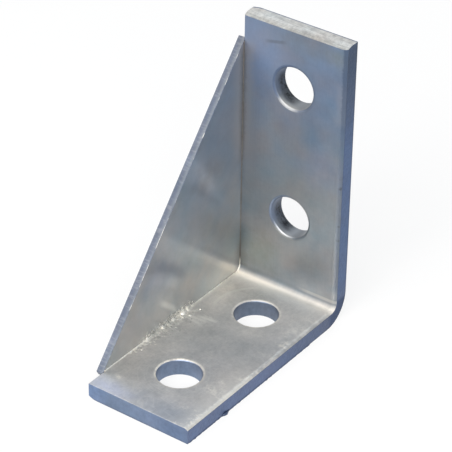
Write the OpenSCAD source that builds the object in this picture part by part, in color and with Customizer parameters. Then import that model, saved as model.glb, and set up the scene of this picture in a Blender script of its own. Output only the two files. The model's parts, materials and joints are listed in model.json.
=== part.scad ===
// Reinforced angle bracket: a bent flat strap with one gusset plate welded to its side.
// The sizes are taken from the heel, where the outside faces of the two legs would meet.
// The part stands on its base leg: X runs across the strap, Y towards the back face, Z up.

/* [Strap] */
// Width of the flat strap
strap_w = 40; // [34:0.5:60]
// Thickness of the flat strap
strap_t = 6; // [5:0.5:8]
// Outside height of the upright leg
upright_h = 106; // [100:0.5:140]
// Outside length of the base leg
base_l = 88.5; // [86:0.5:140]
// Radius of the inside of the bend
bend_inner_r = 2.5; // [1:0.25:5]
// Extra roundness that the bend draws into its outside
bend_draw = 2; // [0:0.25:3]

/* [Bolt holes] */
// Diameter of the punched holes
hole_d = 15; // [9:0.5:18]
// Width of the roll that the punch leaves at the mouth of a hole
hole_roll_w = 0.9; // [0.3:0.05:1.5]
// Depth of that roll at the wall of the hole
hole_roll = 0.5; // [0.2:0.05:0.8]
// Free end of the upright to its upper hole
upright_end = 21.5; // [15:0.5:26]
// Distance between the holes of the upright
upright_pitch = 49.5; // [30:0.5:52]
// Free end of the base to its outer hole
base_end = 22; // [15:0.5:26]
// Distance between the holes of the base
base_pitch = 42.5; // [30:0.5:44]

/* [Sheared edges] */
// Width of the roll on the outside left long edge
outer_left_roll_w = 4.2; // [1.5:0.1:6]
// Depth of that roll at the side face
outer_left_roll = 1.1; // [0.3:0.1:1.4]
// Width of the roll on the inside right long edge
inner_right_roll_w = 2; // [0.8:0.1:4]
// Depth of that roll at the side face
inner_right_roll = 0.6; // [0.2:0.1:0.8]
// Width of the roll across the end face of the upright
top_roll_w = 3; // [1:0.1:4]
// Depth of that roll at the front face
top_roll = 1; // [0.3:0.1:1]
// Broken corner of the other edges
edge_break = 0.3; // [0.1:0.05:0.5]

/* [Gusset] */
// Thickness of the gusset plate
gusset_t = 2.5; // [1.5:0.25:4]
// Free end of the upright to the sloping edge of the gusset, on the front face
gusset_top_gap = 10; // [6:0.5:30]
// Free end of the base to the sloping edge of the gusset, on the top face
gusset_front_gap = 7.5; // [5:0.5:30]
// Overlap of the gusset on the side of the strap
gusset_lap = 2.2; // [1.5:0.1:2.6]
// How far the sloping edge runs on past the strap's faces before it is cut blunt
gusset_run_on = 0.5; // [0.2:0.1:1]
// Slope of the blunt ends
gusset_blunt_angle = 30; // [0:1:40]
// Corner clipped off the gusset to clear the bend
gusset_clip = 4; // [2:0.25:5]

/* [Weld beads] */
// Leg of the fillet weld on the strap
weld_leg = 2; // [1.5:0.1:2.4]
// Bare stretch at each end of a bead
weld_setback = 5; // [3:0.5:15]
// Distance between the ripples of a bead
ripple_pitch = 2.4; // [1.6:0.1:4]
// Height of a ripple
ripple_h = 0.22; // [0.05:0.01:0.4]
// How far the middle of a ripple runs ahead of its ends
ripple_bow = 0.9; // [0:0.1:1.5]

/* [Hidden] */
$fn = 64;

// Amount that a cutting shape runs past the face it cuts
cut_over = 1;

bend_outer_r = bend_inner_r + strap_t + bend_draw;
bend_inner_axis = strap_t + bend_inner_r;
left_x = -strap_w / 2;

// Hole centres, from the heel
hole_r = hole_d / 2;
upright_holes = [upright_h - upright_end - upright_pitch, upright_h - upright_end];
base_holes = [base_l - base_end - base_pitch, base_l - base_end];

// The origin is midway between the two base holes, on the underside
origin_from_heel = (base_holes[0] + base_holes[1]) / 2;

// Outline of the gusset, in depth from the back face and height from the underside
gusset_top = upright_h - gusset_top_gap;
gusset_reach = base_l - gusset_front_gap;
gusset_slope = (gusset_top - strap_t) / (gusset_reach - strap_t);
gusset_rim = strap_t - gusset_lap;
blunt_run = tan(gusset_blunt_angle);
upper_tip = [strap_t - gusset_run_on, gusset_top + gusset_run_on * gusset_slope];
lower_tip = [gusset_reach + gusset_run_on / gusset_slope, strap_t - gusset_run_on];
upper_heel = upper_tip[1] - (upper_tip[0] - gusset_rim) * blunt_run;
lower_heel = lower_tip[0] - (lower_tip[1] - gusset_rim) * blunt_run;
gusset_outline = [
    upper_tip,
    [gusset_rim, upper_heel],
    [gusset_rim, gusset_rim + gusset_clip],
    [gusset_rim + gusset_clip, gusset_rim],
    [lower_heel, gusset_rim],
    lower_tip
];

// Straight stretches of the gusset's rim that carry a bead
weld_start = gusset_rim + gusset_clip + weld_setback;
upright_weld_l = upper_heel - weld_setback - weld_start;
base_weld_l = lower_heel - weld_setback - weld_start;

// Shape of a bead: rings to each ripple, points across its face, and the fullness of that face
ripple_rings = 4;
face_steps = 4;
face_power = 1.5;
// Share of the full section that is left at the ends of a bead
bead_end_share = 0.35;
// Stretch over which a bead swells to its full section
bead_swell = 3;

strap_colour = [0.62, 0.64, 0.67];
gusset_colour = [0.55, 0.57, 0.59];
weld_colour = [0.48, 0.48, 0.48];

// Puts a shape drawn in depth and height, measured from the heel, into the part's frame
module from_side() {
    translate([0, origin_from_heel, 0])
        rotate([90, 0, -90])
            children();
}

// Waste above a sheared corner at the origin: the top face bends down over a width w, by a depth d.
// With equal width and depth it is a plain quarter round.
module roll_waste(w, d) {
    r = (w * w + d * d) / (2 * d);
    difference() {
        translate([-w, -d])
            square([w + cut_over, d + cut_over]);
        translate([-w, -r])
            circle(r);
    }
}

// Rectangle with its lower left corner at the origin and rounded
module heel_block(l, h, r) {
    translate([r, r])
        circle(r);
    translate([r, 0])
        square([l - r, h]);
    translate([0, r])
        square([l, h - r]);
}

// Side view of the bent strap: the bend is thinner than the legs, as bending leaves it
module strap_profile() {
    difference() {
        heel_block(base_l, upright_h, bend_outer_r);
        translate([strap_t, strap_t])
            heel_block(base_l, upright_h, bend_inner_r);
        translate([strap_t, upright_h])
            roll_waste(top_roll_w, top_roll);
        translate([base_l, strap_t])
            roll_waste(edge_break, edge_break);
        translate([0, upright_h])
            mirror([1, 0])
                roll_waste(edge_break, edge_break);
        translate([base_l, 0])
            mirror([0, 1])
                roll_waste(edge_break, edge_break);
    }
}

// Sweeps a section up the upright, round the bend and along the base.
// The section is drawn as distance from the bend's axis, and position to the left of the middle.
module along_strap(axis_depth) {
    translate([0, origin_from_heel - axis_depth, axis_depth])
        rotate([-90, 0, 90]) {
            rotate_extrude(angle = 90)
                children();
            rotate([90, 0, 0])
                linear_extrude(upright_h - axis_depth + cut_over)
                    children();
            rotate([0, 0, 90])
                translate([0, base_l - axis_depth + cut_over, 0])
                    rotate([90, 0, 0])
                        linear_extrude(base_l - axis_depth + cut_over)
                            children();
        }
}

// Section of the waste on a long edge, in the terms of along_strap: side is 1 on the left, -1 on the right
module edge_section(side, w, d) {
    translate([0, side * strap_w / 2])
        mirror([0, side < 0 ? 1 : 0])
            mirror([1, -1])
                roll_waste(w, d);
}

// Waste along a long edge on the outside of the strap
module outer_edge_waste(side, w, d) {
    along_strap(bend_outer_r)
        translate([bend_outer_r, 0])
            edge_section(side, w, d);
}

// Waste along a long edge on the inside of the strap
module inner_edge_waste(side, w, d) {
    along_strap(bend_inner_axis)
        translate([bend_inner_r, 0])
            mirror([1, 0])
                edge_section(side, w, d);
}

// A punched hole through the strap, from its outside face at 0 to its inside face
module punched_hole() {
    rotate_extrude() {
        translate([0, -cut_over])
            square([hole_r, strap_t + 2 * cut_over]);
        translate([hole_r, strap_t])
            mirror([1, 0])
                roll_waste(hole_roll_w, hole_roll);
    }
}

module angle_strap() {
    color(strap_colour)
        difference() {
            from_side()
                linear_extrude(strap_w, center = true)
                    strap_profile();
            outer_edge_waste(1, outer_left_roll_w, outer_left_roll);
            outer_edge_waste(-1, edge_break, edge_break);
            inner_edge_waste(1, edge_break, edge_break);
            inner_edge_waste(-1, inner_right_roll_w, inner_right_roll);
            for (h = upright_holes)
                translate([0, origin_from_heel, h])
                    rotate([90, 0, 0])
                        punched_hole();
            for (d = base_holes)
                translate([0, origin_from_heel - d, 0])
                    punched_hole();
        }
}

module gusset_plate() {
    color(gusset_colour)
        translate([left_x, 0, 0])
            from_side()
                linear_extrude(gusset_t)
                    polygon(gusset_outline);
}

// Size of the bead's section at a place along it
function swell(s, l) =
    bead_end_share + (1 - bead_end_share) * sqrt(min(1, min(s, l - s) / bead_swell));
function ripple(s) = ripple_h * abs(sin(180 * s / ripple_pitch)) / weld_leg;

// One ring of the bead: its root, then the points across its face
function bead_ring(s, l) = let (size = swell(s, l) * (1 + ripple(s))) [
    [0, 0, s],
    for (i = [0 : face_steps]) let (a = 90 * i / face_steps) [
        -gusset_t * size * pow(cos(a), face_power),
        weld_leg * size * pow(sin(a), face_power),
        s + ripple_bow * sin(2 * a)
    ]
];

// A rippled fillet bead of length l along Z, in the corner between -X and +Y
module bead(l) {
    rings = ceil(l / ripple_pitch) * ripple_rings;
    side = face_steps + 2;
    body_l = l - ripple_bow;
    points = [for (k = [0 : rings]) each bead_ring(k * body_l / rings, body_l)];
    walls = [
        for (k = [0 : rings - 1])
            for (i = [0 : side - 1])
                let (j = (i + 1) % side)
                    each [
                        [k * side + i, (k + 1) * side + i, (k + 1) * side + j],
                        [k * side + i, (k + 1) * side + j, k * side + j]
                    ]
    ];
    first_cap = [for (i = [1 : side - 2]) [0, i, i + 1]];
    last_cap = [for (i = [1 : side - 2]) [rings * side, rings * side + i + 1, rings * side + i]];
    polyhedron(points, concat(walls, first_cap, last_cap));
}

module upright_weld() {
    color(weld_colour)
        translate([left_x, origin_from_heel - gusset_rim, weld_start])
            bead(upright_weld_l);
}

module base_weld() {
    color(weld_colour)
        translate([left_x, origin_from_heel - weld_start, gusset_rim])
            mirror([0, 0, 1])
                rotate([90, 0, 0])
                    bead(base_weld_l);
}

angle_strap();
gusset_plate();
upright_weld();
base_weld();
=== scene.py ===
"""Reinforced angle bracket: its zinc-plated finish, the marks of its making, and a studio round it."""

import json
import math
from functools import partial, partialmethod, reduce

import bmesh
import bpy
from bpy.props import FloatProperty, FloatVectorProperty, PointerProperty
from mathutils import Matrix, Vector, noise


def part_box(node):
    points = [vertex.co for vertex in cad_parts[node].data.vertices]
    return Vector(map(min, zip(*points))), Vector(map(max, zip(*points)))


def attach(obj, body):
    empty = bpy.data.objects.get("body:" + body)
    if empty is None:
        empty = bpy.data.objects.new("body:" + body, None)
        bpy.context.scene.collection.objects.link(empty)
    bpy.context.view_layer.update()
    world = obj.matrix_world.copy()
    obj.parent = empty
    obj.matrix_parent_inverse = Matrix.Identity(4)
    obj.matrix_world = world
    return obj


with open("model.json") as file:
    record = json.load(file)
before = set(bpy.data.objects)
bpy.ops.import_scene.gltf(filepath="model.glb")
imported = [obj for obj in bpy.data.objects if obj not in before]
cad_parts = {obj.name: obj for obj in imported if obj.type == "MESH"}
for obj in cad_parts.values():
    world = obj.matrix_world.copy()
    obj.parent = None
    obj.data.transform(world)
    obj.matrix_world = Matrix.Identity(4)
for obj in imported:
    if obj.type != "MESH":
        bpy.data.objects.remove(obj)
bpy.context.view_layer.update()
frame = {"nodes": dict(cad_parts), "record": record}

bl_info = {
    "name": "Reinforced Angle Bracket",
    "version": (1, 0, 0),
    "blender": (4, 5, 0),
    "location": "View3D > Sidebar > Bracket",
    "description": "Finishes a plated, gusseted angle bracket and sets it in a studio",
    "category": "Object",
}

MM = 0.001


def mount(name):
    """One of the record's mounts."""
    return next(m for m in frame["record"]["mounts"] if m["name"] == name)


def hole_places(name, middle):
    """Places of a mount's two holes along their leg, in metres."""
    half = mount(name)["dims"]["spacing_y_mm"] * MM / 2
    return [middle - half, middle + half]


# Faces, holes and bend of the bracket, read from the frame, in metres
STRAP_LOW, STRAP_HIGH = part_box("angle_strap")
GUSSET_LOW, GUSSET_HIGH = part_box("gusset_plate")
BACK_Y = STRAP_HIGH.y
FRONT_Y = STRAP_LOW.y
SEAM_X = STRAP_LOW.x
STRAP_POINTS = [v.co for v in frame["nodes"]["angle_strap"].data.vertices]
TINY = 0.001 * MM
STRAP_T = max(p.z for p in STRAP_POINTS if p.y < 0)
FACE_Y = BACK_Y - STRAP_T
BEND_R = min(p.z for p in STRAP_POINTS if p.y > BACK_Y - TINY)
CREASE_Z = min(p.z for p in STRAP_POINTS if abs(p.y - FACE_Y) < TINY)
HOLE_R = mount("base_bolts")["dims"]["hole_r_mm"] * MM
BASE_HOLES = hole_places("base_bolts", 0.0)
UPRIGHT_HOLES = hole_places("upright_bolts", mount("upright_bolts")["pos_m"][2])
RIGHT = Vector((1, 0, 0))
UP = Vector((0, 0, 1))

# Sizes in millimetres that the masks of the platings share
THICK = STRAP_T / MM
HOLE = HOLE_R / MM
CREASE = CREASE_Z / MM
BEND = BEND_R / MM

# Heights in millimetres between which marks along the upper seam come in, and fade out again
UPPER_FROM = (40.0, 60.0)
UPPER_TO = (95.0, 89.0)


def colour(name, description, default):
    """A colour property."""
    return FloatVectorProperty(
        name=name, description=description, default=default, subtype="COLOR", min=0.0, max=1.0
    )


def length(name, description, default):
    """A length property in metres."""
    return FloatProperty(name=name, description=description, default=default, unit="LENGTH", precision=5)


def share(name, description, default):
    """A property between 0 and 1."""
    return FloatProperty(
        name=name, description=description, default=default, min=0.0, max=1.0, subtype="FACTOR"
    )


def angle(name, description, degrees):
    """An angle property, with its default in degrees."""
    return FloatProperty(name=name, description=description, default=math.radians(degrees), subtype="ANGLE")


class BracketFinish(bpy.types.PropertyGroup):
    """Colours and gloss of the plated steel."""

    # The base, foot and top-of-upright tones are partly lit and shaded copies of one plating: painted light
    # on the base, painted shade on the upright
    base_tone: colour("Base", "Plating on the base and the bend", (0.685, 0.655, 0.62))
    foot_tone: colour("Foot of upright", "Plating low on the upright and in its holes", (0.25, 0.275, 0.303))
    high_tone: colour("Top of upright", "Bluer plating high on the upright", (0.172, 0.22, 0.315))
    gusset_low_tone: colour("Gusset, low", "Plating low on the gusset", (0.45, 0.455, 0.441))
    gusset_high_tone: colour("Gusset, high", "Bluer plating high on the gusset", (0.275, 0.314, 0.378))
    # The dark blue of the sheared sides and base end is partly the sheared steel's colour, partly painted
    # shade
    side_low_tone: colour("Sides, low", "Sheared sides of the base", (0.126, 0.172, 0.3))
    side_mid_tone: colour("Sides, middle", "Sheared sides above the bend", (0.083, 0.131, 0.246))
    side_high_tone: colour("Sides, high", "Sheared sides near the top, rolled edge", (0.049, 0.077, 0.136))
    end_tone: colour("Base end", "Sheared end of the base", (0.18, 0.24, 0.355))
    # The top end is sheared steel like the sides, painted light as it faces up to the lamps
    top_tone: colour("Top end", "Sheared end of the upright", (0.785, 0.75, 0.69))
    bloom_tone: colour("Blue bloom", "Bluest plating, at the upright's upper left", (0.19, 0.255, 0.39))
    bore_tone: colour("Holes", "Plating in the punched holes", (0.19, 0.238, 0.335))
    # torn_and_shade_tone is dark torn steel in nicks and rims, and also paints the dark reflection in the
    # upright's holes
    torn_and_shade_tone: colour("Torn steel", "Dark steel in torn holes, nicks and rims", (0.035, 0.037, 0.042))
    slope_tone: colour("Sloping edge", "Plating on the gusset's cut edges", (0.152, 0.174, 0.226))
    # bright_wear_and_highlight_tone is plating rubbed bright, and also paints highlights on lips, rims, the
    # crease, before the bend and a reflection
    bright_wear_and_highlight_tone: colour("Bright wear", "Plating rubbed bright", (0.95, 0.915, 0.845))
    lip_tone: colour("Worn lip", "Plating scuffed on the base and along its right edge", (0.98, 0.92, 0.82))
    spatter_tone: colour("Spatter", "Plating on weld spatter", (0.66, 0.645, 0.6))
    # grime_and_shade_tone is brown stain in seams and welds, and also paints shade in the inside corner and
    # along the gusset's seams
    grime_and_shade_tone: colour("Seam grime", "Brown stain in the seams", (0.12, 0.11, 0.095))
    # seam_light_tone is painted light beside the upper seam, where the inside corner shades it; the seam
    # ridge mixes it in higher up
    seam_light_tone: colour("Seam warmth", "Warm grey beside the upper seam", (0.42, 0.41, 0.415))
    smear_tone: colour("Smear", "Smear near the upright's top, inner base hole", (0.11, 0.125, 0.15))
    metallic: share("Metallic", "Share of metal in the strap's and welds' look", 0.85)
    scuff_matte: share("Scuff matte", "Share of metal that scuffs and rubs on the strap lose", 0.32)
    gusset_metallic: share("Gusset metallic", "Share of metal in the gusset's look", 0.68)
    strap_roughness: share("Strap roughness", "Mean roughness of the strap's plating", 0.38)
    gusset_roughness: share("Gusset roughness", "Mean roughness low on the gusset", 0.2)
    gusset_dullness: share("Gusset dullness", "Roughness that the gusset gains higher up", 0.055)
    bend_roughness: share("Bend roughness", "Roughness that bending adds inside the bend", 0.34)


class BracketDetails(bpy.types.PropertyGroup):
    """Marks that welding, shearing and fitting leave."""

    spatter_from: length("Spatter start", "Place along the base seam where spatter starts", -24.0 * MM)
    gusset_spatter_from: length("Gusset spatter start", "Where spatter starts on the gusset", -14.0 * MM)
    spatter_to: length("Spatter end", "Place along the base seam where spatter ends", 13.0 * MM)
    spatter_reach: length("Spatter reach", "How far crumbs of spatter lie from the seam", 5.0 * MM)
    spatter_height: length("Spatter height", "Height of a full crumb of spatter", 0.55 * MM)
    ridge_r: length("Seam ridge", "Radius of the thin ridge in the seam", 0.26 * MM)
    slope_burr_r: length("Slope burr", "Radius of the burr on the gusset's sloping edge", 0.11 * MM)
    base_burr: length("Base burr", "Reach of the burr under the base's right edge", 0.18 * MM)
    nub_reach: length("Nub reach", "Reach of the nub on that burr", 0.75 * MM)
    nub_y: length("Nub place", "Place of the nub along the base", -23.3 * MM)


class BracketStage(bpy.types.PropertyGroup):
    """Camera, lamps and floor."""

    azimuth: angle("Azimuth", "Camera direction round the bracket", 35.92)
    elevation: angle("Elevation", "Camera height angle", 32.94)
    roll: angle("Roll", "Camera roll", 0.88)
    distance: length("Distance", "Camera to its target", 0.75)
    target: FloatVectorProperty(
        name="Target", description="Point at the middle of the picture", default=(-0.0019, 0.0058, 0.0482),
        subtype="XYZ", unit="LENGTH",
    )
    lens: FloatProperty(name="Lens", description="Focal length in millimetres", default=185.33)
    floor_tone: colour("Floor", "Colour of the floor", (0.98, 0.965, 0.95))
    room_tone: colour("Room", "Colour of the room's light", (0.78, 0.88, 1.0))
    room_level: FloatProperty(
        name="Room level", description="Strength of the room's light", default=0.36, min=0
    )
    paper_glow: share("Paper glow", "Share of plain white in the floor, as camera and mirrors see it", 0.8)


class Graph:
    """A material's node tree, built from short calls."""

    def __init__(self, name):
        self.material = bpy.data.materials.new(name)
        self.material.use_nodes = True
        self.tree = self.material.node_tree
        self.tree.nodes.clear()
        self.shader = self.node("ShaderNodeBsdfPrincipled")
        self.output = self.node("ShaderNodeOutputMaterial")
        self.feed(self.output.inputs["Surface"], self.shader.outputs["BSDF"])

    def node(self, kind, **settings):
        """A new node with some of its settings."""
        made = self.tree.nodes.new(kind)
        for key, value in settings.items():
            setattr(made, key, value)
        return made

    def feed(self, socket, value):
        """Sets a socket to a number or colour, or links another socket to it."""
        if isinstance(value, bpy.types.NodeSocket):
            self.tree.links.new(value, socket)
        elif isinstance(value, (int, float)):
            socket.default_value = value
        else:
            socket.default_value = tuple(value) + (1.0,) * (len(socket.default_value) - len(value))

    def math(self, operation, *values):
        """One arithmetic step."""
        made = self.node("ShaderNodeMath", operation=operation)
        for socket, value in zip(made.inputs, values):
            self.feed(socket, value)
        return made.outputs[0]

    def chain(self, operation, *values):
        """The same arithmetic step from value to value."""
        return reduce(partial(self.math, operation), values)

    add = partialmethod(chain, "ADD")
    less = partialmethod(chain, "SUBTRACT")
    times = partialmethod(chain, "MULTIPLY")
    most = partialmethod(chain, "MAXIMUM")
    least = partialmethod(chain, "MINIMUM")

    def plus(self, value, mask, amount):
        """A value, plus an amount under a mask."""
        return self.math("MULTIPLY_ADD", mask, amount, value)

    def swing(self, value, around, amount):
        """around, plus amount times how far a noise value is from its middle."""
        return self.plus(around, self.less(value, 0.5), amount)

    def mix(self, factor, first, second, blend="MIX"):
        """A blend of two colours."""
        made = self.node("ShaderNodeMix", data_type="RGBA", blend_type=blend)
        colours = [socket for socket in made.inputs if socket.type == "RGBA"]
        self.feed(made.inputs["Factor"], factor)
        self.feed(colours[0], first)
        self.feed(colours[1], second)
        return next(socket for socket in made.outputs if socket.type == "RGBA")

    def step(self, value, low, high, first=0.0, second=1.0):
        """A smooth step from first to second as value goes from low to high."""
        made = self.node("ShaderNodeMapRange", interpolation_type="SMOOTHSTEP", clamp=True)
        keys = ("Value", "From Min", "From Max", "To Min", "To Max")
        for key, number in zip(keys, (value, low, high, first, second)):
            self.feed(made.inputs[key], number)
        return made.outputs[0]

    def band(self, value, centre, half, soft):
        """1 within half of centre, falling to 0 over soft."""
        off = self.math("ABSOLUTE", self.less(value, centre))
        return self.step(off, half, half + soft, 1.0, 0.0)

    def noise(self, vector, scale, detail=3.0, roughness=0.55):
        """Soft noise, about 0.5 in the mean."""
        made = self.node("ShaderNodeTexNoise")
        self.feed(made.inputs["Vector"], vector)
        made.inputs["Scale"].default_value = scale
        made.inputs["Detail"].default_value = detail
        made.inputs["Roughness"].default_value = roughness
        return made.outputs["Fac"]

    def split(self, vector):
        """The three parts of a vector."""
        made = self.node("ShaderNodeSeparateXYZ")
        self.feed(made.inputs[0], vector)
        return made.outputs

    def join(self, x, y, z):
        """A vector of three parts."""
        made = self.node("ShaderNodeCombineXYZ")
        for socket, value in zip(made.inputs, (x, y, z)):
            self.feed(socket, value)
        return made.outputs[0]

    def reach(self, a, b):
        """Length of a flat vector."""
        return self.math("SQRT", self.add(self.times(a, a), self.times(b, b)))

    def bump(self, height, distance, strength, under=None):
        """A normal that follows a height."""
        made = self.node("ShaderNodeBump")
        made.inputs["Strength"].default_value = strength
        made.inputs["Distance"].default_value = distance
        self.feed(made.inputs["Height"], height)
        if under is not None:
            self.feed(made.inputs["Normal"], under)
        return made.outputs["Normal"]


class Plating(Graph):
    """Zinc plate over steel, with places in millimetres in the bracket's own frame."""

    def __init__(self, name, finish):
        super().__init__(name)
        self.finish = finish
        place = self.node("ShaderNodeTexCoord")
        scaled = self.node("ShaderNodeVectorMath", operation="SCALE")
        self.feed(scaled.inputs[0], place.outputs["Object"])
        scaled.inputs["Scale"].default_value = 1 / MM
        self.mm = scaled.outputs[0]
        self.across, self.row_y, self.height = self.split(self.mm)
        self.depth = self.less(BACK_Y / MM, self.row_y)
        self.along = self.add(self.depth, self.height)
        self.face_x, self.face_y, self.face_z = self.split(place.outputs["Normal"])
        self.cloud = self.noise(self.mm, scale=0.05, detail=3.0)
        self.tint = self.noise(self.mm, scale=0.085, detail=2.0)
        self.wave = self.noise(self.mm, scale=0.14, detail=0.0)
        self.patch = self.noise(self.mm, scale=0.16, detail=3.0)
        self.fleck = self.noise(self.mm, scale=0.75, detail=3.0, roughness=0.65)
        rolled = self.join(self.times(self.across, 1.6), 0.0, self.times(self.along, 0.09))
        self.grain = self.noise(rolled, scale=1.0, detail=3.0, roughness=0.65)
        self.shader.inputs["Metallic"].default_value = finish.metallic

    def up(self, low, high, first=0.0, second=1.0):
        """A smooth step over the height."""
        return self.step(self.height, low, high, first, second)

    def rise(self, low, high, wander):
        """0 near the base and 1 high up, with a cloudy border."""
        return self.step(self.swing(self.cloud, self.height, wander), low, high)

    def vary(self, tone, clouds, patches, flecks, hues):
        """Varies a tone's light by clouds, patches, flecks and rolling grain, and its warmth by hues."""
        light = self.swing(self.cloud, 1.0, clouds)
        light = self.swing(self.patch, light, patches)
        light = self.swing(self.fleck, light, flecks)
        light = self.swing(self.grain, light, 0.15)
        shift = self.times(self.less(self.tint, 0.5), hues)
        light_blue = self.less(light, self.times(shift, 0.6))
        return self.mix(1.0, tone, self.join(self.add(light, shift), light, light_blue), "MULTIPLY")

    def shade(self, tone, mask, shares):
        """A tone whose red, green and blue are raised or lowered by shares under a mask."""
        factors = [self.plus(1.0, mask, part) for part in shares]
        return self.mix(1.0, tone, self.join(*factors), "MULTIPLY")

    def patches(self, tone, u, v, areas):
        """A tone shaded in broad soft ellipses, each with a middle, half sizes and shares of colour."""
        for middle, (wide, tall), shares in areas:
            off_u, off_v = self.less(u, middle[0]), self.less(v, middle[1])
            away = self.reach(self.times(off_u, 1 / wide), self.times(off_v, 1 / tall))
            tone = self.shade(tone, self.step(self.swing(self.patch, away, 0.8), 1.0, 0.0), shares)
        return tone

    def stroke(self, u, v, start, end, half, soft):
        """1 along a straight stroke between two places on a face, with a ragged border."""
        du, dv = end[0] - start[0], end[1] - start[1]
        size = math.hypot(du, dv)
        from_u, from_v = self.less(u, start[0]), self.less(v, start[1])
        along = self.add(self.times(from_u, du / size), self.times(from_v, dv / size))
        off = self.less(self.times(from_v, du / size), self.times(from_u, dv / size))
        lengthwise = self.band(along, size / 2, 0.2 * size, 0.35 * size)
        return self.times(lengthwise, self.band(self.swing(self.fleck, off, 2 * half), 0.0, half, soft))

    def blotch(self, u, v, middle, radius):
        """1 in a ragged blotch on a face."""
        away = self.reach(self.less(u, middle[0]), self.less(v, middle[1]))
        inside = self.step(self.swing(self.patch, away, 2 * radius), radius, 0.2 * radius)
        return self.times(inside, self.step(self.fleck, 0.34, 0.64))

    def scratches(self, degrees, long, thin, least):
        """Straight scratches in one direction on the legs; a higher least leaves fewer."""
        turn = math.radians(degrees)
        with_it = self.add(self.times(self.across, math.cos(turn)), self.times(self.along, math.sin(turn)))
        over_it = self.less(self.times(self.along, math.cos(turn)), self.times(self.across, math.sin(turn)))
        place = self.join(self.times(with_it, 1 / long), self.times(over_it, 1 / thin), degrees)
        return self.step(self.noise(place, scale=1.0, detail=1.0), least, least + 0.05)

    def complete(self, tone, roughness, relief, depth):
        """Feeds the shader, with a faint waviness under the finer relief."""
        self.feed(self.shader.inputs["Base Color"], tone)
        self.feed(self.shader.inputs["Roughness"], roughness)
        wavy = self.bump(self.wave, distance=0.12 * MM, strength=0.5)
        fine = self.bump(relief, depth, strength=0.7, under=wavy)
        self.feed(self.shader.inputs["Normal"], fine)
        return self.material


class StrapPlating(Plating):
    """Plating with masks for the strap's faces and holes, each 1 on its own face."""

    def __init__(self, name, finish):
        super().__init__(name, finish)
        top = STRAP_HIGH.z / MM
        front = FRONT_Y / MM
        self.side = self.step(self.math("ABSOLUTE", self.face_x), 0.75, 0.95)
        near_end = self.step(self.row_y, front + 1.0, front + 0.5)
        self.end = self.times(self.step(self.face_y, -0.75, -0.95), near_end)
        self.top = self.times(self.step(self.face_z, 0.6, 0.9), self.up(top - 1.5, top - 1.0))
        self.hole = self.hole_reach()
        self.bore = self.step(self.hole, HOLE + 0.25, HOLE + 0.1)
        self.sheared = self.most(self.side, self.end, self.top, self.bore)
        self.whole = self.less(1.0, self.sheared)
        self.on_base = self.times(self.step(self.face_z, 0.7, 0.95), self.up(THICK + 2.0, THICK + 1.0))
        self.on_upright = self.times(self.step(self.face_y, -0.6, -0.9), self.up(CREASE - 0.5, CREASE))
        self.from_right = self.less(STRAP_HIGH.x / MM, self.across)
        self.from_seam = self.less(self.across, SEAM_X / MM)
        self.through = self.outer_reach()

    def outer_reach(self):
        """Distance into the strap from its underside, the outside of its bend and its back."""
        into_depth = self.most(self.less(BEND, self.depth), 0.0)
        into_height = self.most(self.less(BEND, self.height), 0.0)
        return self.less(BEND, self.reach(into_depth, into_height))

    def hole_reach(self):
        """Distance to the nearest hole's axis, where the base's holes count only near the base."""
        far = 99.0
        above_base = self.up(8.0, 9.0, 0.0, far)
        near = []
        for middle in BASE_HOLES:
            away = self.reach(self.across, self.less(self.row_y, middle / MM))
            near.append(self.most(away, above_base))
        for middle in UPRIGHT_HOLES:
            near.append(self.reach(self.across, self.less(self.height, middle / MM)))
        return self.least(*near)

    def clock(self, hour):
        """1 towards an hour on the nearest upright hole, seen from the front, and -1 across from it."""
        turn = math.radians(30 * hour)
        lower, upper = (middle / MM for middle in UPRIGHT_HOLES)
        between = sum(UPRIGHT_HOLES) / 2 / MM
        middle = self.up(between - 1, between + 1, lower, upper)
        rise = self.less(self.height, middle)
        towards = self.add(self.times(self.across, math.sin(turn)), self.times(rise, math.cos(turn)))
        return self.math("DIVIDE", towards, self.most(self.reach(self.across, rise), 1.0))


# Broad patches on the faces: middle and half sizes in millimetres, and how far red, green and blue
# go up or down
UPRIGHT_PATCHES = (
    ((-9.0, 72.0), (18.0, 36.0), (0.38, 0.35, 0.32)),
    ((11.5, 59.0), (12.0, 14.0), (-0.06, 0.0, 0.16)),
    ((-13.0, 17.0), (14.0, 14.0), (-0.08, -0.1, -0.2)),
    ((3.0, 102.0), (26.0, 9.0), (0.03, -0.02, -0.12)),
    ((8.0, 20.0), (11.0, 8.0), (0.12, 0.08, 0.02)),
    ((17.0, 101.0), (7.0, 7.0), (0.12, 0.06, -0.08)),
    ((-1.5, 72.0), (10.0, 8.0), (-0.08, -0.02, 0.06)),
)
GUSSET_PATCHES = (
    # First patch: a painted reflection of the lit base before the bend, low on the gusset by the corner
    ((30.0, 9.0), (18.0, 10.0), (0.42, 0.41, 0.37)),
    ((18.5, 52.5), (9.0, 8.0), (-0.24, -0.24, -0.24)),
    ((-12.0, 27.0), (11.0, 10.0), (-0.16, -0.12, -0.04)),
)
BASE_PATCHES = (
    # First patch: painted light on the base by the gusset and the bend, where the corner shades it
    ((-14.5, 24.0), (11.0, 20.0), (0.28, 0.25, 0.23)),
    ((15.0, -17.0), (10.0, 22.0), (0.14, 0.11, 0.07)),
    ((5.0, 11.0), (11.0, 7.0), (0.17, 0.16, 0.14)),
    ((9.0, -40.0), (24.0, 9.0), (-0.26, -0.22, -0.16)),
    ((-13.0, -41.0), (14.0, 6.0), (0.0, 0.03, 0.18)),
    ((-12.5, 2.5), (6.0, 5.0), (0.14, 0.13, 0.12)),
)

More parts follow.
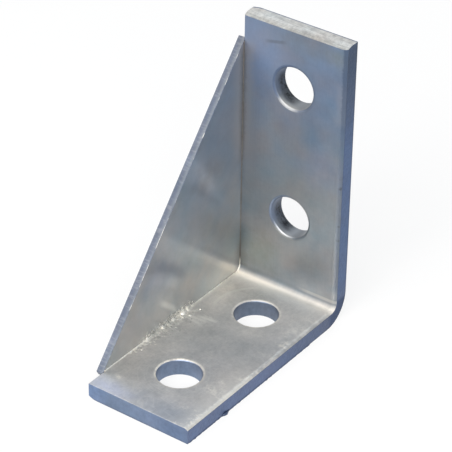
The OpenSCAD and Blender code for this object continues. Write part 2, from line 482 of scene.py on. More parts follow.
# Strokes, with start, end, half width and softness, and blotches, with middle and radius, in millimetres
BASE_RUBS = (
    ((-20.0, 6.3), (-8.8, 7.3), 0.3, 0.8), ((-20.0, 6.3), (-9.8, 4.4), 0.3, 0.7),
    ((-19.5, 7.0), (-16.2, 11.8), 0.4, 0.7), ((-15.8, 8.0), (-7.0, 9.2), 0.3, 0.8),
)
BASE_SMUDGE = ((-12.0, 7.6), 5.0)
BASE_SCUFFS = (
    ((17.2, -22.6), 3.6), ((15.9, -19.2), 2.6), ((12.8, -22.3), 3.0), ((18.2, -36.0), 3.0),
    ((18.0, 12.2), 2.2), ((-14.2, -34.6), 2.6), ((14.0, -16.5), 2.6),
)
TOP_SMEAR = ((-12.0, 98.3), (-2.6, 100.5), 0.2, 0.7)
# A painted reflection on the gusset of the bright streak on the base
GUSSET_REFLECTION_STREAK = ((-6.4, 17.4), (4.0, 8.5), 0.15, 1.5)

# Directions of the base's scratches in degrees, and heights of the nicks up the upright's right edge
SCRATCH_TURNS = (12, 57, 108, 151)
EDGE_NICKS = (33.4, 38.9, 53.6, 57.6)

# Hours on the upright's holes, seen from the front, where their painted light and shade are strongest: lit
# bore floor, lip highlight, dark reflection, dull shade
LIT_BORE_HOUR, LIP_HIGHLIGHT_HOUR, DARK_REFLECTION_HOUR, DULL_SHADE_HOUR = 5.2, 6.6, 8, 10

# Large spatter beads: place along the seam, distance from it and radius, in millimetres
SPATTER_BEADS = (
    (-12.9, 0.2, 0.5), (-4.6, 0.3, 0.6), (1.2, 0.1, 0.7), (6.3, 0.2, 1.0),
    (9.0, 0.7, 0.5), (6.8, 3.0, 0.5), (4.5, 1.9, 0.4), (11.8, 3.6, 0.4), (-18.4, 2.2, 0.4),
)


def strap_plating(finish):
    """The strap: bluer up high, dark where sheared, stained at the seam, worn on the base; partly painted
    light and shade.
    """
    g = StrapPlating("plated_strap_steel", finish)
    # Base tone into upright tone over the bend: partly the plating's colour, partly painted light on the
    # base and painted shade on the upright and upper bend
    tone = g.mix(g.up(THICK, THICK + 1.8), base_face_tone(g), upright_face_tone(g))
    tone = g.mix(strap_smear(g), tone, finish.smear_tone)
    tone = g.mix(strap_seam(g), tone, finish.grime_and_shade_tone)
    brightened = strap_wear_and_highlights(g)
    tone = g.mix(brightened, tone, finish.bright_wear_and_highlight_tone)
    scuffed = g.times(g.most(*base_scuffs(g)), g.on_base, g.whole)
    tone = g.mix(scuffed, tone, finish.lip_tone)
    matte = g.most(scuffed, g.times(brightened, 0.5))
    g.feed(g.shader.inputs["Metallic"], g.plus(finish.metallic, matte, -finish.scuff_matte))
    dented = g.times(g.step(g.from_right, 2.5, 0.6, 0.4, 12.0), g.fleck)
    tone = strap_edges(g, tone)
    return g.complete(tone, strap_roughness(g), g.add(g.grain, dented), depth=0.02 * MM)


def upright_face_tone(g):
    """The upright's faces: grey at the foot, bluer higher up, with painted light beside the upper seam;
    darker than the base, partly as painted shade.
    """
    finish = g.finish
    tone = g.mix(g.rise(45.0, 100.0, wander=50.0), finish.foot_tone, finish.high_tone)
    tone = g.mix(strap_bloom(g), tone, finish.bloom_tone)
    hues = g.up(40.0, 75.0, 0.4, 0.5)
    tone = g.vary(tone, clouds=0.15, patches=0.4, flecks=0.2, hues=hues)
    tone = g.patches(tone, g.across, g.height, UPRIGHT_PATCHES)
    return g.mix(strap_warmth(g), tone, finish.seam_light_tone)


def base_face_tone(g):
    """The base's faces: pale, partly as painted light on the up-facing leg, and a little bluer towards the
    front end.
    """
    finish = g.finish
    tone = g.mix(g.step(g.row_y, -30.0, -41.0, 0.0, 0.12), finish.base_tone, finish.bloom_tone)
    tone = g.vary(tone, clouds=0.15, patches=0.4, flecks=0.4, hues=0.06)
    return g.patches(tone, g.across, g.row_y, BASE_PATCHES)


def strap_roughness(g):
    """The strap's roughness: cloudy, and higher where sheared, in and before the bend, and on hole lips."""
    finish = g.finish
    near_base = g.up(10.0, 8.0)
    bend = g.times(near_base, g.step(g.depth, THICK + 4.5, THICK + 2.0))
    glow_before_bend = g.step(g.depth, THICK + 11.0, THICK + 3.0)
    glow_before_bend = g.times(glow_before_bend, g.step(g.from_seam, 24.0, 6.0), g.on_base)
    lips = g.step(g.hole, HOLE + 1.3, HOLE + 0.9)
    lips = g.times(lips, g.most(g.up(58.0, 62.0), g.less(near_base, g.bore)))
    rough = g.swing(g.cloud, finish.strap_roughness, 0.22)
    rough = g.swing(g.patch, rough, 0.14)
    for mask, gain in ((g.sheared, 0.06), (bend, finish.bend_roughness), (glow_before_bend, 0.25), (lips, 0.25)):
        rough = g.plus(rough, mask, gain)
    return rough


def strap_edges(g, tone):
    """A tone with the right edge worn and partly painted light on the base, in painted shade up the upright,
    the nicks, the sheared faces and the punched holes.
    """
    finish = g.finish
    rolled = g.step(g.swing(g.fleck, g.face_x, 0.3), 0.02, 0.3)
    # Worn lip on the base's rolled right edge: partly worn plating, partly painted light over the roll's
    # dark reflection
    worn = g.times(rolled, g.up(THICK + 1.0, THICK + 0.2), g.step(g.row_y, 0.0, -12.0))
    tone = g.mix(g.times(worn, g.step(g.fleck, 0.35, 0.6, 0.2, 1.0)), tone, finish.lip_tone)
    # Painted shade on the rolled right edge up the upright, over its reflection
    rolled = g.times(rolled, g.up(THICK + 4.0, THICK + 10.0))
    tone = g.mix(g.times(rolled, g.up(50.0, 95.0, 0.4, 0.65)), tone, finish.side_high_tone)
    nicks = g.most(*(g.blotch(g.from_right, g.height, (0.5, z), 0.9) for z in EDGE_NICKS))
    tone = g.mix(g.times(nicks, 0.6), tone, finish.torn_and_shade_tone)
    bore_tone = g.mix(g.step(g.row_y, 8.0, 12.0, 0.0, 0.5), finish.bore_tone, finish.smear_tone)
    # Sheared faces: the top end painted light, the sides and base end partly painted shade
    faces = (
        (g.side, side_face_tone(g)), (g.end, base_end_tone(g)), (g.top, top_end_tone(g)), (g.bore, bore_tone)
    )
    for mask, sheared in faces:
        tone = g.mix(mask, tone, g.vary(sheared, clouds=0.3, patches=0.5, flecks=0.5, hues=0.2))
    return punched_tone(g, tone)


def side_face_tone(g):
    """The sheared sides: blue on the base, darker by the bend and up the upright, with dark rims; partly the
    sheared steel's colour, partly painted shade.
    """
    finish = g.finish
    tone = g.mix(g.step(g.depth, 55.0, 12.0, 0.06, 0.3), finish.side_low_tone, finish.torn_and_shade_tone)
    tone = g.mix(g.up(6.0, 16.0), tone, finish.side_mid_tone)
    tone = g.mix(g.up(62.0, 100.0), tone, finish.side_high_tone)
    rims = g.most(g.step(g.through, 0.9, 0.2), g.step(g.through, THICK - 1.1, THICK - 0.4))
    return g.mix(g.times(rims, 0.45), tone, finish.torn_and_shade_tone)


def base_end_tone(g):
    """The base's sheared end: dark at its lower rim, darker to the right and bluer at the left; partly
    painted shade, as it faces front and down.
    """
    finish = g.finish
    tone = g.mix(g.step(g.through, 1.1, 0.2, 0.0, 0.3), finish.end_tone, finish.torn_and_shade_tone)
    tone = g.mix(g.step(g.across, -6.0, 18.0, 0.0, 0.4), tone, finish.side_low_tone)
    return g.shade(tone, g.step(g.across, -10.0, -19.0), (0.06, 0.1, 0.2))


def top_end_tone(g):
    """Light grey, painted light as it faces up to the lamps, with streaks; a painted shade line along its
    back edge and round its left corner.
    """
    corner_w, corner_d, line_w = 4.2, 1.1, 0.85
    into_corner = g.times(g.most(g.less(corner_w, g.from_seam), 0.0), 1 / corner_w)
    from_back = g.less(g.depth, g.times(into_corner, into_corner, corner_d))
    streaks = g.noise(g.join(g.times(g.across, 0.2), g.times(g.depth, 2.4), 0.0), scale=1.0, detail=2.0)
    light = g.swing(g.fleck, g.swing(streaks, 1.0, 0.8), 0.35)
    # The top end's light tone is painted light
    tone = g.mix(1.0, g.finish.top_tone, g.join(light, light, light), "MULTIPLY")
    # Painted shade along the rounded back edge and round the left corner
    return g.mix(g.step(from_back, line_w, 0.3, 0.0, 0.9), tone, g.finish.side_mid_tone)


def punched_tone(g, tone):
    """Upright holes: painted light low on the right, painted shade and a painted dark reflection on the
    left, and a painted highlight on the lip at the bottom.
    """
    finish = g.finish
    in_hole = g.times(g.step(g.hole, HOLE + 1.1, HOLE + 0.8), g.up(12.0, 14.0))
    in_bore = g.times(in_hole, g.bore)
    tone = g.mix(g.times(in_bore, 0.75), tone, finish.foot_tone)
    # Painted light on the bore's floor, low on the right
    tone = g.mix(g.times(in_bore, g.step(g.clock(LIT_BORE_HOUR), 0.4, 1.0), 0.35), tone, finish.base_tone)
    # Painted shade on the bore's upper left
    dull_shade = g.times(in_hole, g.step(g.clock(DULL_SHADE_HOUR), 0.2, 0.75), 0.65)
    tone = g.mix(dull_shade, tone, g.mix(0.5, finish.bore_tone, finish.side_mid_tone))
    # Painted dark reflection low on the bore's left
    dark_reflection = g.times(in_hole, g.step(g.clock(DARK_REFLECTION_HOUR), 0.45, 0.95))
    dark_reflection = g.times(dark_reflection, g.step(g.swing(g.patch, g.depth, 2.0), 5.2, 2.4))
    tone = g.mix(g.times(dark_reflection, g.step(g.fleck, 0.35, 0.6, 1.0, 0.65)), tone, finish.torn_and_shade_tone)
    # Painted highlight on the hole's lip at the bottom
    lip_highlight = g.times(in_hole, g.step(g.clock(LIP_HIGHLIGHT_HOUR), 0.8, 1.0), g.step(g.depth, THICK - 2.6, THICK))
    return g.mix(g.times(lip_highlight, g.up(50.0, 70.0, 0.2, 0.4)), tone, finish.bright_wear_and_highlight_tone)


def upper_seam(g):
    """1 beside the upper part of the seam, where its stains show."""
    return g.times(g.up(*UPPER_FROM), g.up(*UPPER_TO))


def strap_seam(g):
    """Dark along the upright's seam with the gusset: painted shade broad at its foot, a thin stain higher
    up.
    """
    from_seam = g.swing(g.fleck, g.from_seam, 2.0)
    # Painted shade, broad and low in the inside corner above the bend
    low = g.times(g.step(from_seam, 4.0, 0.4), g.up(26.0, 12.0), 0.35)
    high = g.times(g.step(from_seam, 1.8, 0.1), upper_seam(g), 0.35)
    return g.times(g.most(low, high), g.on_upright)


def strap_warmth(g):
    """Warmer, lighter tone high on the upright: painted light beside the gusset, where the inside corner
    shades it, and a warmer, lighter patch at the right edge.
    """
    # Painted light beside the gusset, where the inside corner shades the upright
    beside = g.times(g.step(g.swing(g.fleck, g.from_seam, 3.0), 6.0, 1.0), g.up(*UPPER_FROM))
    beside = g.times(beside, g.up(99.0, 91.0), 0.5)
    patch = g.step(g.swing(g.patch, g.from_right, 8.0), 5.0, 1.5)
    patch = g.times(g.band(g.height, 84.0, 5.0, 4.0), patch, 0.15)
    return g.most(beside, patch)


def strap_bloom(g):
    """Bluer plating round the upright's upper left corner."""
    away = g.reach(g.less(g.from_seam, 5.0), g.less(g.height, 96.0))
    return g.times(g.step(g.swing(g.patch, away, 14.0), 17.0, 4.0), 0.7)


def strap_smear(g):
    """A dull smear near the top of the upright, rising a little to the right."""
    return g.times(g.stroke(g.across, g.height, *TOP_SMEAR), g.on_upright, 0.45)


def strap_wear_and_highlights(g):
    """Bright marks: wear and a painted glow before the bend on the base, painted highlights at its hole rims
    and on the crease.
    """
    on_base = g.times(g.most(*base_marks(g)), g.on_base)
    # Painted highlight on the rolled rims of the base's holes
    rim_highlight = g.times(g.step(g.hole, HOLE + 1.2, HOLE + 0.5), g.step(g.fleck, 0.3, 0.6), 0.2)
    rim_highlight = g.times(rim_highlight, g.up(12.0, 10.0))
    # Painted highlight along the crease above the bend
    crease_highlight = g.times(g.band(g.height, CREASE, 0.2, 0.7), g.step(g.across, 2.0, 10.0), 0.25)
    return g.times(g.most(on_base, rim_highlight, crease_highlight), g.whole)


def base_marks(g):
    """Bright marks on the base: at its two holes, round the spatter and in the seam, and a painted glow
    before the bend.
    """
    inner_y = g.less(g.row_y, BASE_HOLES[1] / MM)
    ring = g.band(g.reach(g.across, inner_y), 2 * HOLE, 0.3, 0.5)
    ring = g.times(ring, g.step(g.across, -3.0, -7.0), g.step(inner_y, -7.0, -2.0), 0.5)
    outer_y = g.less(g.row_y, BASE_HOLES[0] / MM)
    away = g.reach(g.across, outer_y)
    round_hole = g.join(g.times(away, 2.2), g.math("ARCTAN2", outer_y, g.across), 5.0)
    turns = g.noise(round_hole, scale=1.0, detail=1.0)
    swirl = g.times(g.step(turns, 0.55, 0.65), g.band(away, 1.5 * HOLE, 1.5, 3.0), 0.15)
    rubs = g.times(g.most(*(g.stroke(g.across, g.row_y, *streak) for streak in BASE_RUBS)), 0.7)
    smudge = g.times(g.blotch(g.across, g.row_y, *BASE_SMUDGE), 0.5)
    crumbs = g.times(seam_crumbs(g, g.from_seam), 0.75)
    seam = g.times(g.step(g.swing(g.fleck, g.from_seam, 1.6), 1.8, 0.5), g.step(g.row_y, 6.0, 9.0), 0.45)
    # Painted glow of the bend's highlight on the base before the bend
    glow_before_bend = g.step(g.swing(g.patch, g.depth, 4.0), THICK + 9.0, THICK + 2.5)
    glow_before_bend = g.times(glow_before_bend, g.step(g.across, 12.0, -6.0, 0.5, 0.75))
    return ring, swirl, rubs, smudge, crumbs, seam, glow_before_bend


def base_scuffs(g):
    """Scuffs on the base, most towards the front of its right edge, and faint scratches all over."""
    towards_front = g.step(g.row_y, 8.0, -12.0, 0.35, 1.0)
    worn = g.step(g.less(g.patch, g.times(g.from_right, 0.025)), 0.38, 0.56)
    worn = g.times(worn, g.step(g.fleck, 0.42, 0.58), towards_front, 0.75)
    pale = g.times(g.step(g.swing(g.patch, g.from_right, 8.0), 9.0, 1.0), g.step(g.row_y, -2.0, -14.0), 0.3)
    edge = g.step(g.swing(g.fleck, g.from_right, 5.0), 1.2, 0.1)
    edge = g.times(edge, g.step(g.row_y, -4.0, -14.0), 0.75)
    blotches = g.times(g.most(*(g.blotch(g.across, g.row_y, *scuff) for scuff in BASE_SCUFFS)), 0.7)
    scratches = (g.scratches(turn, long=9.0, thin=0.9, least=0.64) for turn in SCRATCH_TURNS)
    scratched = g.times(g.most(*scratches), 0.1)
    return worn, pale, edge, blotches, scratched


def seam_crumbs(g, away):
    """Light specks along the welded stretch of the base seam, thinning out with the distance from it."""
    thin_out = g.plus(0.42, away, 0.04)
    specks = g.step(g.less(g.fleck, thin_out), 0.0, 0.12)
    return g.times(specks, g.band(g.row_y, -4.0, 9.0, 5.0), g.step(away, 6.0, 3.0))


def gusset_plating(finish):
    """The gusset: smoother sheet in blue and grey patches, stained and painted shade at its seams, painted
    light and reflections low, darker on its cut edges.
    """
    g = Plating("plated_gusset_steel", finish)
    g.shader.inputs["Metallic"].default_value = finish.gusset_metallic
    g.shader.inputs["Specular IOR Level"].default_value = 0.0
    tone = g.mix(g.rise(4.0, 66.0, wander=60.0), finish.gusset_low_tone, finish.gusset_high_tone)
    tone = g.vary(tone, clouds=0.25, patches=0.3, flecks=0.1, hues=0.32)
    tone = g.patches(tone, g.row_y, g.height, GUSSET_PATCHES)
    from_upright = g.math("ABSOLUTE", g.less(g.depth, THICK))
    warm = g.step(g.swing(g.fleck, from_upright, 2.0), 9.0, 1.5)
    # Painted light beside the upper seam, where the inside corner shades the gusset
    tone = g.mix(g.times(warm, g.up(*UPPER_FROM), 0.5), tone, finish.seam_light_tone)
    tone = g.mix(gusset_stains_and_shade(g, from_upright), tone, finish.grime_and_shade_tone)
    inside = g.step(g.face_x, 0.5, 0.8)
    crumbs = g.times(seam_crumbs(g, g.less(g.height, THICK)), 0.35)
    # Painted reflection of the base's bright streak, low on the gusset
    streak = g.times(g.stroke(g.row_y, g.height, *GUSSET_REFLECTION_STREAK), 0.3)
    tone = g.mix(g.times(g.most(crumbs, streak), inside), tone, finish.bright_wear_and_highlight_tone)
    edges = g.step(g.math("ABSOLUTE", g.face_x), 0.8, 0.5)
    tone = g.mix(edges, tone, cut_edge_tone(g))
    smooth = finish.gusset_roughness
    rough = g.up(36.0, 60.0, smooth, smooth + finish.gusset_dullness)
    rough = g.plus(g.swing(g.cloud, rough, 0.03), edges, 0.14)
    return g.complete(tone, rough, g.wave, depth=0.02 * MM)


def gusset_stains_and_shade(g, from_upright):
    """Dark along the gusset's seams: painted shade at the upright's foot and far back on the base, a stain
    high up on it.
    """
    ragged_seam = g.swing(g.fleck, from_upright, 1.6)
    # Painted shade in the inside corner at the upright's foot
    foot = g.times(g.step(ragged_seam, 4.0, 0.2), g.up(28.0, 14.0), 0.35)
    high = g.times(g.step(ragged_seam, 3.0, 0.1), upper_seam(g), 0.35)
    # Painted shade along the base seam far back, near the corner
    above_base = g.swing(g.fleck, g.less(g.height, THICK), 1.0)
    back = g.times(g.step(above_base, 1.1, 0.4), g.step(g.row_y, 20.0, 32.0), 0.3)
    return g.most(foot, high, back)


def cut_edge_tone(g):
    """The gusset's cut edges: lighter where the shear burnished them, and streaked across the plate."""
    along = g.times(g.add(g.height, g.row_y), 0.9)
    streaks = g.noise(g.join(g.times(g.across, 0.25), along, 0.0), scale=1.0, detail=2.0)
    middle = (GUSSET_LOW.x + GUSSET_HIGH.x) / 2 / MM
    burnished = g.times(g.step(g.across, middle - 0.3, GUSSET_HIGH.x / MM), 0.35)
    tone = g.vary(g.finish.slope_tone, clouds=0.4, patches=0.4, flecks=0.3, hues=0.2)
    tone = g.mix(g.times(g.step(streaks, 0.5, 0.68), 0.08), tone, g.finish.bright_wear_and_highlight_tone)
    return g.mix(g.times(burnished, g.up(30.0, 75.0, 0.5, 0.8)), tone, g.finish.gusset_low_tone)


def weld_plating(finish):
    """Weld metal under the plate: greyer and rougher than the rolled faces."""
    g = Plating("plated_weld_metal", finish)
    tone = g.mix(0.4, finish.base_tone, finish.grime_and_shade_tone)
    tone = g.vary(tone, clouds=0.3, patches=0.4, flecks=0.5, hues=0.2)
    rough = g.swing(g.fleck, finish.strap_roughness + 0.08, 0.25)
    return g.complete(tone, rough, g.fleck, depth=0.08 * MM)


def spatter_plating(finish):
    """Bright plated spatter and ridges, browner up the upright."""
    g = Plating("plated_spatter", finish)
    stain = g.mix(g.up(26.0, 13.0, 0.75, 1.0), finish.seam_light_tone, finish.grime_and_shade_tone)
    away = g.most(g.less(g.across, SEAM_X / MM), g.less(g.height, THICK))
    beads = (
        g.times(g.band(g.row_y, y, 0.7 * r, 0.6), g.step(away, out + r + 0.5, out))
        for y, out, r in SPATTER_BEADS
    )
    bright = g.most(g.step(g.row_y, -8.0, -14.0), g.step(g.row_y, 12.0, 16.0), *beads)
    tone = g.mix(bright, finish.spatter_tone, finish.bright_wear_and_highlight_tone)
    tone = g.mix(g.up(THICK + 2.0, THICK + 6.0), tone, stain)
    tone = g.vary(tone, clouds=0.2, patches=0.6, flecks=0.8, hues=0.1)
    rough = g.swing(g.fleck, finish.strap_roughness + 0.15, 0.2)
    return g.complete(tone, rough, g.fleck, depth=0.03 * MM)


def burr_plating(finish):
    """Plated burrs: as dark as the sheared faces, with bright rubbed spots."""
    g = Plating("plated_burr", finish)
    under = g.mix(0.4, finish.side_low_tone, finish.torn_and_shade_tone)
    tone = g.mix(g.step(g.across, -10.0, 10.0), finish.slope_tone, under)
    brightened = g.times(g.step(g.patch, 0.5, 0.65), g.up(2.0, 6.0), 0.5)
    tone = g.mix(brightened, tone, finish.bright_wear_and_highlight_tone)
    tone = g.vary(tone, clouds=0.2, patches=0.3, flecks=0.3, hues=0.1)
    rough = g.swing(g.fleck, finish.strap_roughness, 0.2)
    return g.complete(tone, rough, g.fleck, depth=0.02 * MM)


def floor_paper(stage):
    """Pale paper with a faint tooth, partly plain white to camera and mirrors, so its shadow stays soft."""
    g = Graph("floor_paper")
    place = g.node("ShaderNodeTexCoord")
    light = g.step(g.noise(place.outputs["Object"], scale=900.0, detail=2.0), 0.0, 1.0, 0.985, 1.0)
    tone = g.mix(1.0, stage.floor_tone, g.join(light, light, light), "MULTIPLY")
    g.feed(g.shader.inputs["Base Color"], tone)
    g.shader.inputs["Roughness"].default_value = 0.9
    g.shader.inputs["Specular IOR Level"].default_value = 0.1
    path = g.node("ShaderNodeLightPath")
    seen = g.most(*(path.outputs[ray] for ray in ("Is Camera Ray", "Is Glossy Ray", "Is Transmission Ray")))
    white = g.node("ShaderNodeEmission")
    paper = g.node("ShaderNodeMixShader")
    g.feed(paper.inputs[0], g.times(seen, stage.paper_glow))
    g.feed(paper.inputs[1], g.shader.outputs["BSDF"])
    g.feed(paper.inputs[2], white.outputs["Emission"])
    g.feed(g.output.inputs["Surface"], paper.outputs["Shader"])
    return g.material


def dress(node, material):
    """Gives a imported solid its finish."""
    piece = frame["nodes"][node]
    piece.data.materials.clear()
    piece.data.materials.append(material)


def mesh_piece(name, shape, material):
    """Adds a smooth mesh that rides on the bracket."""
    mesh = bpy.data.meshes.new(name)
    shape.to_mesh(mesh)
    shape.free()
    mesh.polygons.foreach_set("use_smooth", [True] * len(mesh.polygons))
    mesh.materials.append(material)
    piece = bpy.data.objects.new(name, mesh)
    bpy.context.scene.collection.objects.link(piece)
    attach(piece, "root")


class DressStrap(bpy.types.Operator):
    """Plates the bent strap"""

    bl_idname = "bracket.dress_strap"
    bl_label = "Dress strap"

    def execute(self, context):
        dress("angle_strap", strap_plating(context.scene.bracket_finish))
        return {"FINISHED"}


class DressGusset(bpy.types.Operator):
    """Plates the gusset"""

    bl_idname = "bracket.dress_gusset"
    bl_label = "Dress gusset"

    def execute(self, context):
        dress("gusset_plate", gusset_plating(context.scene.bracket_finish))
        return {"FINISHED"}


class DressWelds(bpy.types.Operator):
    """Plates the weld beads"""

    bl_idname = "bracket.dress_welds"
    bl_label = "Dress welds"

    def execute(self, context):
        material = weld_plating(context.scene.bracket_finish)
        for node in ("upright_weld", "base_weld"):
            dress(node, material)
        return {"FINISHED"}


class AddSpatter(bpy.types.Operator):
    """Lays weld spatter and a thin ridge of weld metal into the seam"""

    bl_idname = "bracket.add_spatter"
    bl_label = "Add spatter"

    def execute(self, context):
        details = context.scene.bracket_details
        material = spatter_plating(context.scene.bracket_finish)
        mesh_piece("seam_spatter", spatter_shape(details), material)
        mesh_piece("seam_ridge", ridge_shape(details), material)
        return {"FINISHED"}


class AddBurrs(bpy.types.Operator):
    """Adds the burrs that shearing leaves on the gusset's slope and under the base's right edge"""

    bl_idname = "bracket.add_burrs"
    bl_label = "Add burrs"

    def execute(self, context):
        details = context.scene.bracket_details
        material = burr_plating(context.scene.bracket_finish)
        mesh_piece("slope_burr", slope_burr_shape(details), material)
        mesh_piece("base_burr", base_burr_shape(details), material)
        return {"FINISHED"}


def crumb_height(details, start, y, out, seed):
    """Height of the spatter at a place along the seam and a distance from it; none where it is negative."""
    share_along = (y - start) / (details.spatter_to - start)
    thick = max(0.0, math.sin(math.pi * share_along)) ** 0.5 * (0.45 + 0.55 * share_along)
    place = Vector((out / MM, y / MM, seed))
    rough = noise.noise(place) + 0.5 * noise.noise(place * 2.3)
    crumbs = thick * (rough - 0.02) - 0.4 * out / details.spatter_reach
    high = details.spatter_height * crumbs
    for bead_y, bead_out, bead_r in SPATTER_BEADS:
        away = math.hypot(y / MM - bead_y, out / MM - bead_out) / bead_r
        if away < 1.0:
            dome = details.spatter_height * bead_r * math.sqrt(1.0 - away * away)
            high = max(high, dome * (1.0 + 0.6 * rough))
    return high


def standing_cells(heights):
    """Cells with a corner above the plate, and those that part islands which meet at one corner only."""
    rows, columns = len(heights) - 1, len(heights[0]) - 1
    cells = {
        (j, i) for j in range(rows) for i in range(columns)
        if max(heights[j][i], heights[j][i + 1], heights[j + 1][i], heights[j + 1][i + 1]) > 0.0
    }
    for j in range(rows - 1):
        for i in range(columns - 1):
            for this, that in ((i, i + 1), (i + 1, i)):
                touching = (j, this) in cells and (j + 1, that) in cells
                if touching and (j, that) not in cells and (j + 1, this) not in cells:
                    cells.add((j + 1, this))
    return cells


def crumb_field(made, details, start, out_axis, up_axis, width, seed):
    """Closed islands wherever the spatter stands above a plate, from a start along the seam."""
    pitch = 0.2 * MM
    sink = 0.1 * MM
    origin = Vector((SEAM_X, start, STRAP_T))
    along = Vector((0, pitch, 0))
    rows = int((details.spatter_to - start) / pitch)
    columns = int(width / pitch)
    heights = [
        [crumb_height(details, start, start + j * pitch, i * pitch, seed) for i in range(columns + 1)]
        for j in range(rows + 1)
    ]
    cells = standing_cells(heights)
    corners = {}

    def corner(j, i, top):
        """The point over or under one corner of the grid."""
        if (j, i, top) not in corners:
            lift = max(heights[j][i], 0.0) if top else -sink
            corners[j, i, top] = made.verts.new(origin + along * j + out_axis * i * pitch + up_axis * lift)
        return corners[j, i, top]

    for j, i in sorted(cells):
        ring = ((j, i), (j, i + 1), (j + 1, i + 1), (j + 1, i))
        made.faces.new([corner(*place, True) for place in ring])
        made.faces.new([corner(*place, False) for place in reversed(ring)])
        neighbours = ((j - 1, i), (j, i + 1), (j + 1, i), (j, i - 1))
        for k, beside in enumerate(neighbours):
            if beside not in cells:
                a, b = ring[k], ring[(k + 1) % len(ring)]
                made.faces.new((corner(*b, True), corner(*a, True), corner(*a, False), corner(*b, False)))


def faced(made):
    """A closed shape with its faces turned outward."""
    bmesh.ops.recalc_face_normals(made, faces=made.faces)
    return made


def spatter_shape(details):
    """Crumbs and beads of weld metal on the base and, fewer, on the gusset."""
    made = bmesh.new()
    reach = details.spatter_reach
    crumb_field(made, details, details.spatter_from, RIGHT, UP, width=1.6 * reach, seed=3.0)
    crumb_field(made, details, details.gusset_spatter_from, UP, RIGHT, width=0.5 * reach, seed=8.0)
    return faced(made)


def sweep(rings):
    """Joins closed rings of points into one capped solid."""
    made = bmesh.new()
    last = None
    for ring in rings:
        points = [made.verts.new(point) for point in ring]
        if last is None:
            made.faces.new(points)
        else:
            for k in range(len(points)):
                n = (k + 1) % len(points)
                made.faces.new((last[k], last[n], points[n], points[k]))
        last = points
    made.faces.new(reversed(last))
    return faced(made)


def stations(start, stop, pitch):
    """Evenly spaced places from start to stop, about pitch apart."""
    count = max(2, round((stop - start) / pitch))
    return [start + (stop - start) * i / count for i in range(count + 1)]


def ragged(place, seed):
    """A rough value between about -1 and 1 that changes along an edge."""
    coarse = noise.noise(Vector((seed, 0.8 * place / MM, 0.0)))
    fine = noise.noise(Vector((seed, 2.1 * place / MM, 4.0)))
    return coarse + 0.4 * fine


def seam_path(pitch):
    """Places and upward directions along the gusset's seam: on the base, round the bend, up the upright."""
    r = CREASE_Z - STRAP_T
    base_run = stations(GUSSET_LOW.y + MM, FACE_Y - r, pitch)
    path = [(Vector((SEAM_X, y, STRAP_T)), UP) for y in base_run]
    axis = Vector((SEAM_X, FACE_Y - r, CREASE_Z))
    for turn in stations(0.0, math.pi / 2, pitch / r)[1:-1]:
        up = Vector((0, -math.sin(turn), math.cos(turn)))
        path.append((axis - up * r, up))
    for z in stations(CREASE_Z, GUSSET_HIGH.z - MM, pitch):
        path.append((Vector((SEAM_X, FACE_Y, z)), Vector((0, -1, 0))))
    return path


def ridge_shape(details):
    """A thin ridge of weld metal along the gusset's inner seam."""
    sides = 5
    turns = [math.pi / 2 * k / sides for k in range(sides + 1)]
    rings = []
    for corner, up in seam_path(0.4 * MM):
        r = details.ridge_r * (1 + 0.5 * ragged(corner.z - corner.y, seed=1.0))
        rings.append([corner] + [corner + RIGHT * r * math.cos(a) + up * r * math.sin(a) for a in turns])
    return sweep(rings)


def slope_burr_shape(details):
    """A ragged burr along the inner edge of the gusset's slope."""
    points = [v.co for v in frame["nodes"]["gusset_plate"].data.vertices]
    low = min(points, key=lambda p: p.y)
    high = max(points, key=lambda p: p.z)
    start, stop = Vector((SEAM_X, low.y, low.z)), Vector((SEAM_X, high.y, high.z))
    run = (stop - start).normalized()
    away = RIGHT.cross(run)
    margin, pitch, sides = 0.3 * MM, 0.4 * MM, 6
    turns = [2 * math.pi * k / sides for k in range(sides)]
    rings = []
    for s in stations(margin, (stop - start).length - margin, pitch):
        r = details.slope_burr_r * max(0.4, 1 + 0.5 * ragged(0.5 * s, seed=2.0))
        rings.append([start + run * s + RIGHT * r * math.cos(a) + away * r * math.sin(a) for a in turns])
    return sweep(rings)


def base_burr_shape(details):
    """A ragged burr under the right edge of the base, with one nub."""
    root, foot, rise, pitch = 0.5 * MM, 0.05 * MM, 0.8 * MM, 0.3 * MM
    nub_half, nub_belly, nub_rise = 1.2 * MM, 0.6 * MM, 0.3 * MM
    side = STRAP_HIGH.x
    rings = []
    for y in stations(FRONT_Y + MM, BACK_Y - 2 * BEND_R, pitch):
        nub = math.exp(-(((y - details.nub_y) / nub_half) ** 2))
        reach = details.base_burr * max(0.1, 0.5 + ragged(y, seed=9.0)) + details.nub_reach * nub
        rings.append([
            Vector((side - root, y, foot)),
            Vector((side + reach, y, 2 * foot)),
            Vector((side + 0.9 * reach, y, foot + nub_belly * nub + 2 * foot)),
            Vector((side - foot, y, rise + nub_rise * nub)),
        ])
    return sweep(rings)


class SetStage(bpy.types.Operator):
    """Sets the floor, the lamps and the camera"""

    bl_idname = "bracket.set_stage"
    bl_label = "Set stage"

    def execute(self, context):
        stage = context.scene.bracket_stage
        add_floor(stage)
        add_room(context.scene, stage)
        for lamp in LAMPS:
            add_lamp(*lamp)
        add_camera(context.scene, stage)
        context.scene.view_settings.view_transform = "Standard"
        return {"FINISHED"}


# Soft panels round the bracket: name, azimuth and elevation in degrees, size in metres, watts, colour
LAMPS = (
    ("key_panel", 28, 42, (1.45, 0.95), 25.5, (1.0, 0.98, 0.94)),
    ("fill_panel", -12, 33, (0.95, 0.8), 11.5, (1.0, 0.98, 0.94)),
    ("back_panel", 216, 45, (1.45, 0.8), 3.1, (0.86, 0.92, 1.0)),
    ("side_panel", 126, 25, (0.65, 0.65), 2.6, (1.0, 1.0, 1.0)),
)
LAMP_DISTANCE = 1.6
LAMP_AIM = Vector((0.0, 0.0, 0.05))


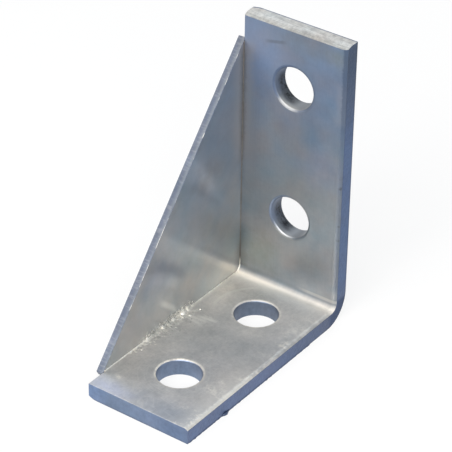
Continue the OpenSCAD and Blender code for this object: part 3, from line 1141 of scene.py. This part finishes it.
def direction(azimuth, elevation):
    """From the bracket towards an azimuth and elevation in radians, where azimuth 0 is the front."""
    flat = math.cos(elevation)
    return Vector((math.sin(azimuth) * flat, -math.cos(azimuth) * flat, math.sin(elevation)))


def add_floor(stage):
    """A wide paper floor under the bracket."""
    half, drop = 4.0, 0.02 * MM
    corners = [(-half, -half, 0), (half, -half, 0), (half, half, 0), (-half, half, 0)]
    mesh = bpy.data.meshes.new("floor")
    mesh.from_pydata(corners, [], [(0, 1, 2, 3)])
    mesh.materials.append(floor_paper(stage))
    floor = bpy.data.objects.new("floor", mesh)
    floor.location.z = -drop
    bpy.context.scene.collection.objects.link(floor)


def add_room(scene, stage):
    """An even, cool light from all round."""
    world = bpy.data.worlds.new("room")
    world.use_nodes = True
    background = world.node_tree.nodes["Background"]
    background.inputs["Color"].default_value = tuple(stage.room_tone) + (1.0,)
    background.inputs["Strength"].default_value = stage.room_level
    scene.world = world


def add_lamp(name, azimuth, elevation, size, watts, tone):
    """A soft panel that faces the bracket."""
    lamp = bpy.data.lights.new(name, "AREA")
    lamp.shape = "RECTANGLE"
    lamp.size, lamp.size_y = size
    lamp.energy = watts
    lamp.color = tone
    towards = direction(math.radians(azimuth), math.radians(elevation))
    holder = bpy.data.objects.new(name, lamp)
    holder.location = LAMP_AIM + towards * LAMP_DISTANCE
    holder.rotation_euler = towards.to_track_quat("Z", "Y").to_euler()
    bpy.context.scene.collection.objects.link(holder)


def add_camera(scene, stage):
    """A long lens at the given angles, aimed at the target."""
    camera = bpy.data.cameras.new("camera")
    camera.lens = stage.lens
    camera.sensor_width = 36.0
    camera.dof.use_dof = False
    back = direction(stage.azimuth, stage.elevation)
    right = Vector((math.cos(stage.azimuth), math.sin(stage.azimuth), 0.0))
    level = Matrix((right, back.cross(right), back)).transposed()
    turned = (level @ Matrix.Rotation(stage.roll, 3, "Z")).to_4x4()
    holder = bpy.data.objects.new("camera", camera)
    holder.matrix_world = Matrix.Translation(Vector(stage.target) + back * stage.distance) @ turned
    scene.collection.objects.link(holder)
    scene.camera = holder


class BracketPanel(bpy.types.Panel):
    """Lists the steps that finish the bracket"""

    bl_idname = "VIEW3D_PT_bracket"
    bl_label = "Angle bracket"
    bl_space_type = "VIEW_3D"
    bl_region_type = "UI"
    bl_category = "Bracket"

    def draw(self, context):
        for key in GROUPS:
            group = getattr(context.scene, key)
            box = self.layout.box()
            for name in group.__annotations__:
                box.prop(group, name)
        for operator in OPERATORS:
            self.layout.operator(operator.bl_idname)


GROUPS = {
    "bracket_finish": BracketFinish,
    "bracket_details": BracketDetails,
    "bracket_stage": BracketStage,
}
OPERATORS = (DressStrap, DressGusset, DressWelds, AddSpatter, AddBurrs, SetStage)


def register():
    for made in (*GROUPS.values(), *OPERATORS, BracketPanel):
        bpy.utils.register_class(made)
    for key, group in GROUPS.items():
        setattr(bpy.types.Scene, key, PointerProperty(type=group))


def unregister():
    for key in GROUPS:
        delattr(bpy.types.Scene, key)
    for made in (BracketPanel, *reversed(OPERATORS), *GROUPS.values()):
        bpy.utils.unregister_class(made)


def main():
    register()
    bpy.ops.bracket.dress_strap()
    bpy.ops.bracket.dress_gusset()
    bpy.ops.bracket.dress_welds()
    bpy.ops.bracket.add_spatter()
    bpy.ops.bracket.add_burrs()
    bpy.ops.bracket.set_stage()


if __name__ == "__main__":
    main()
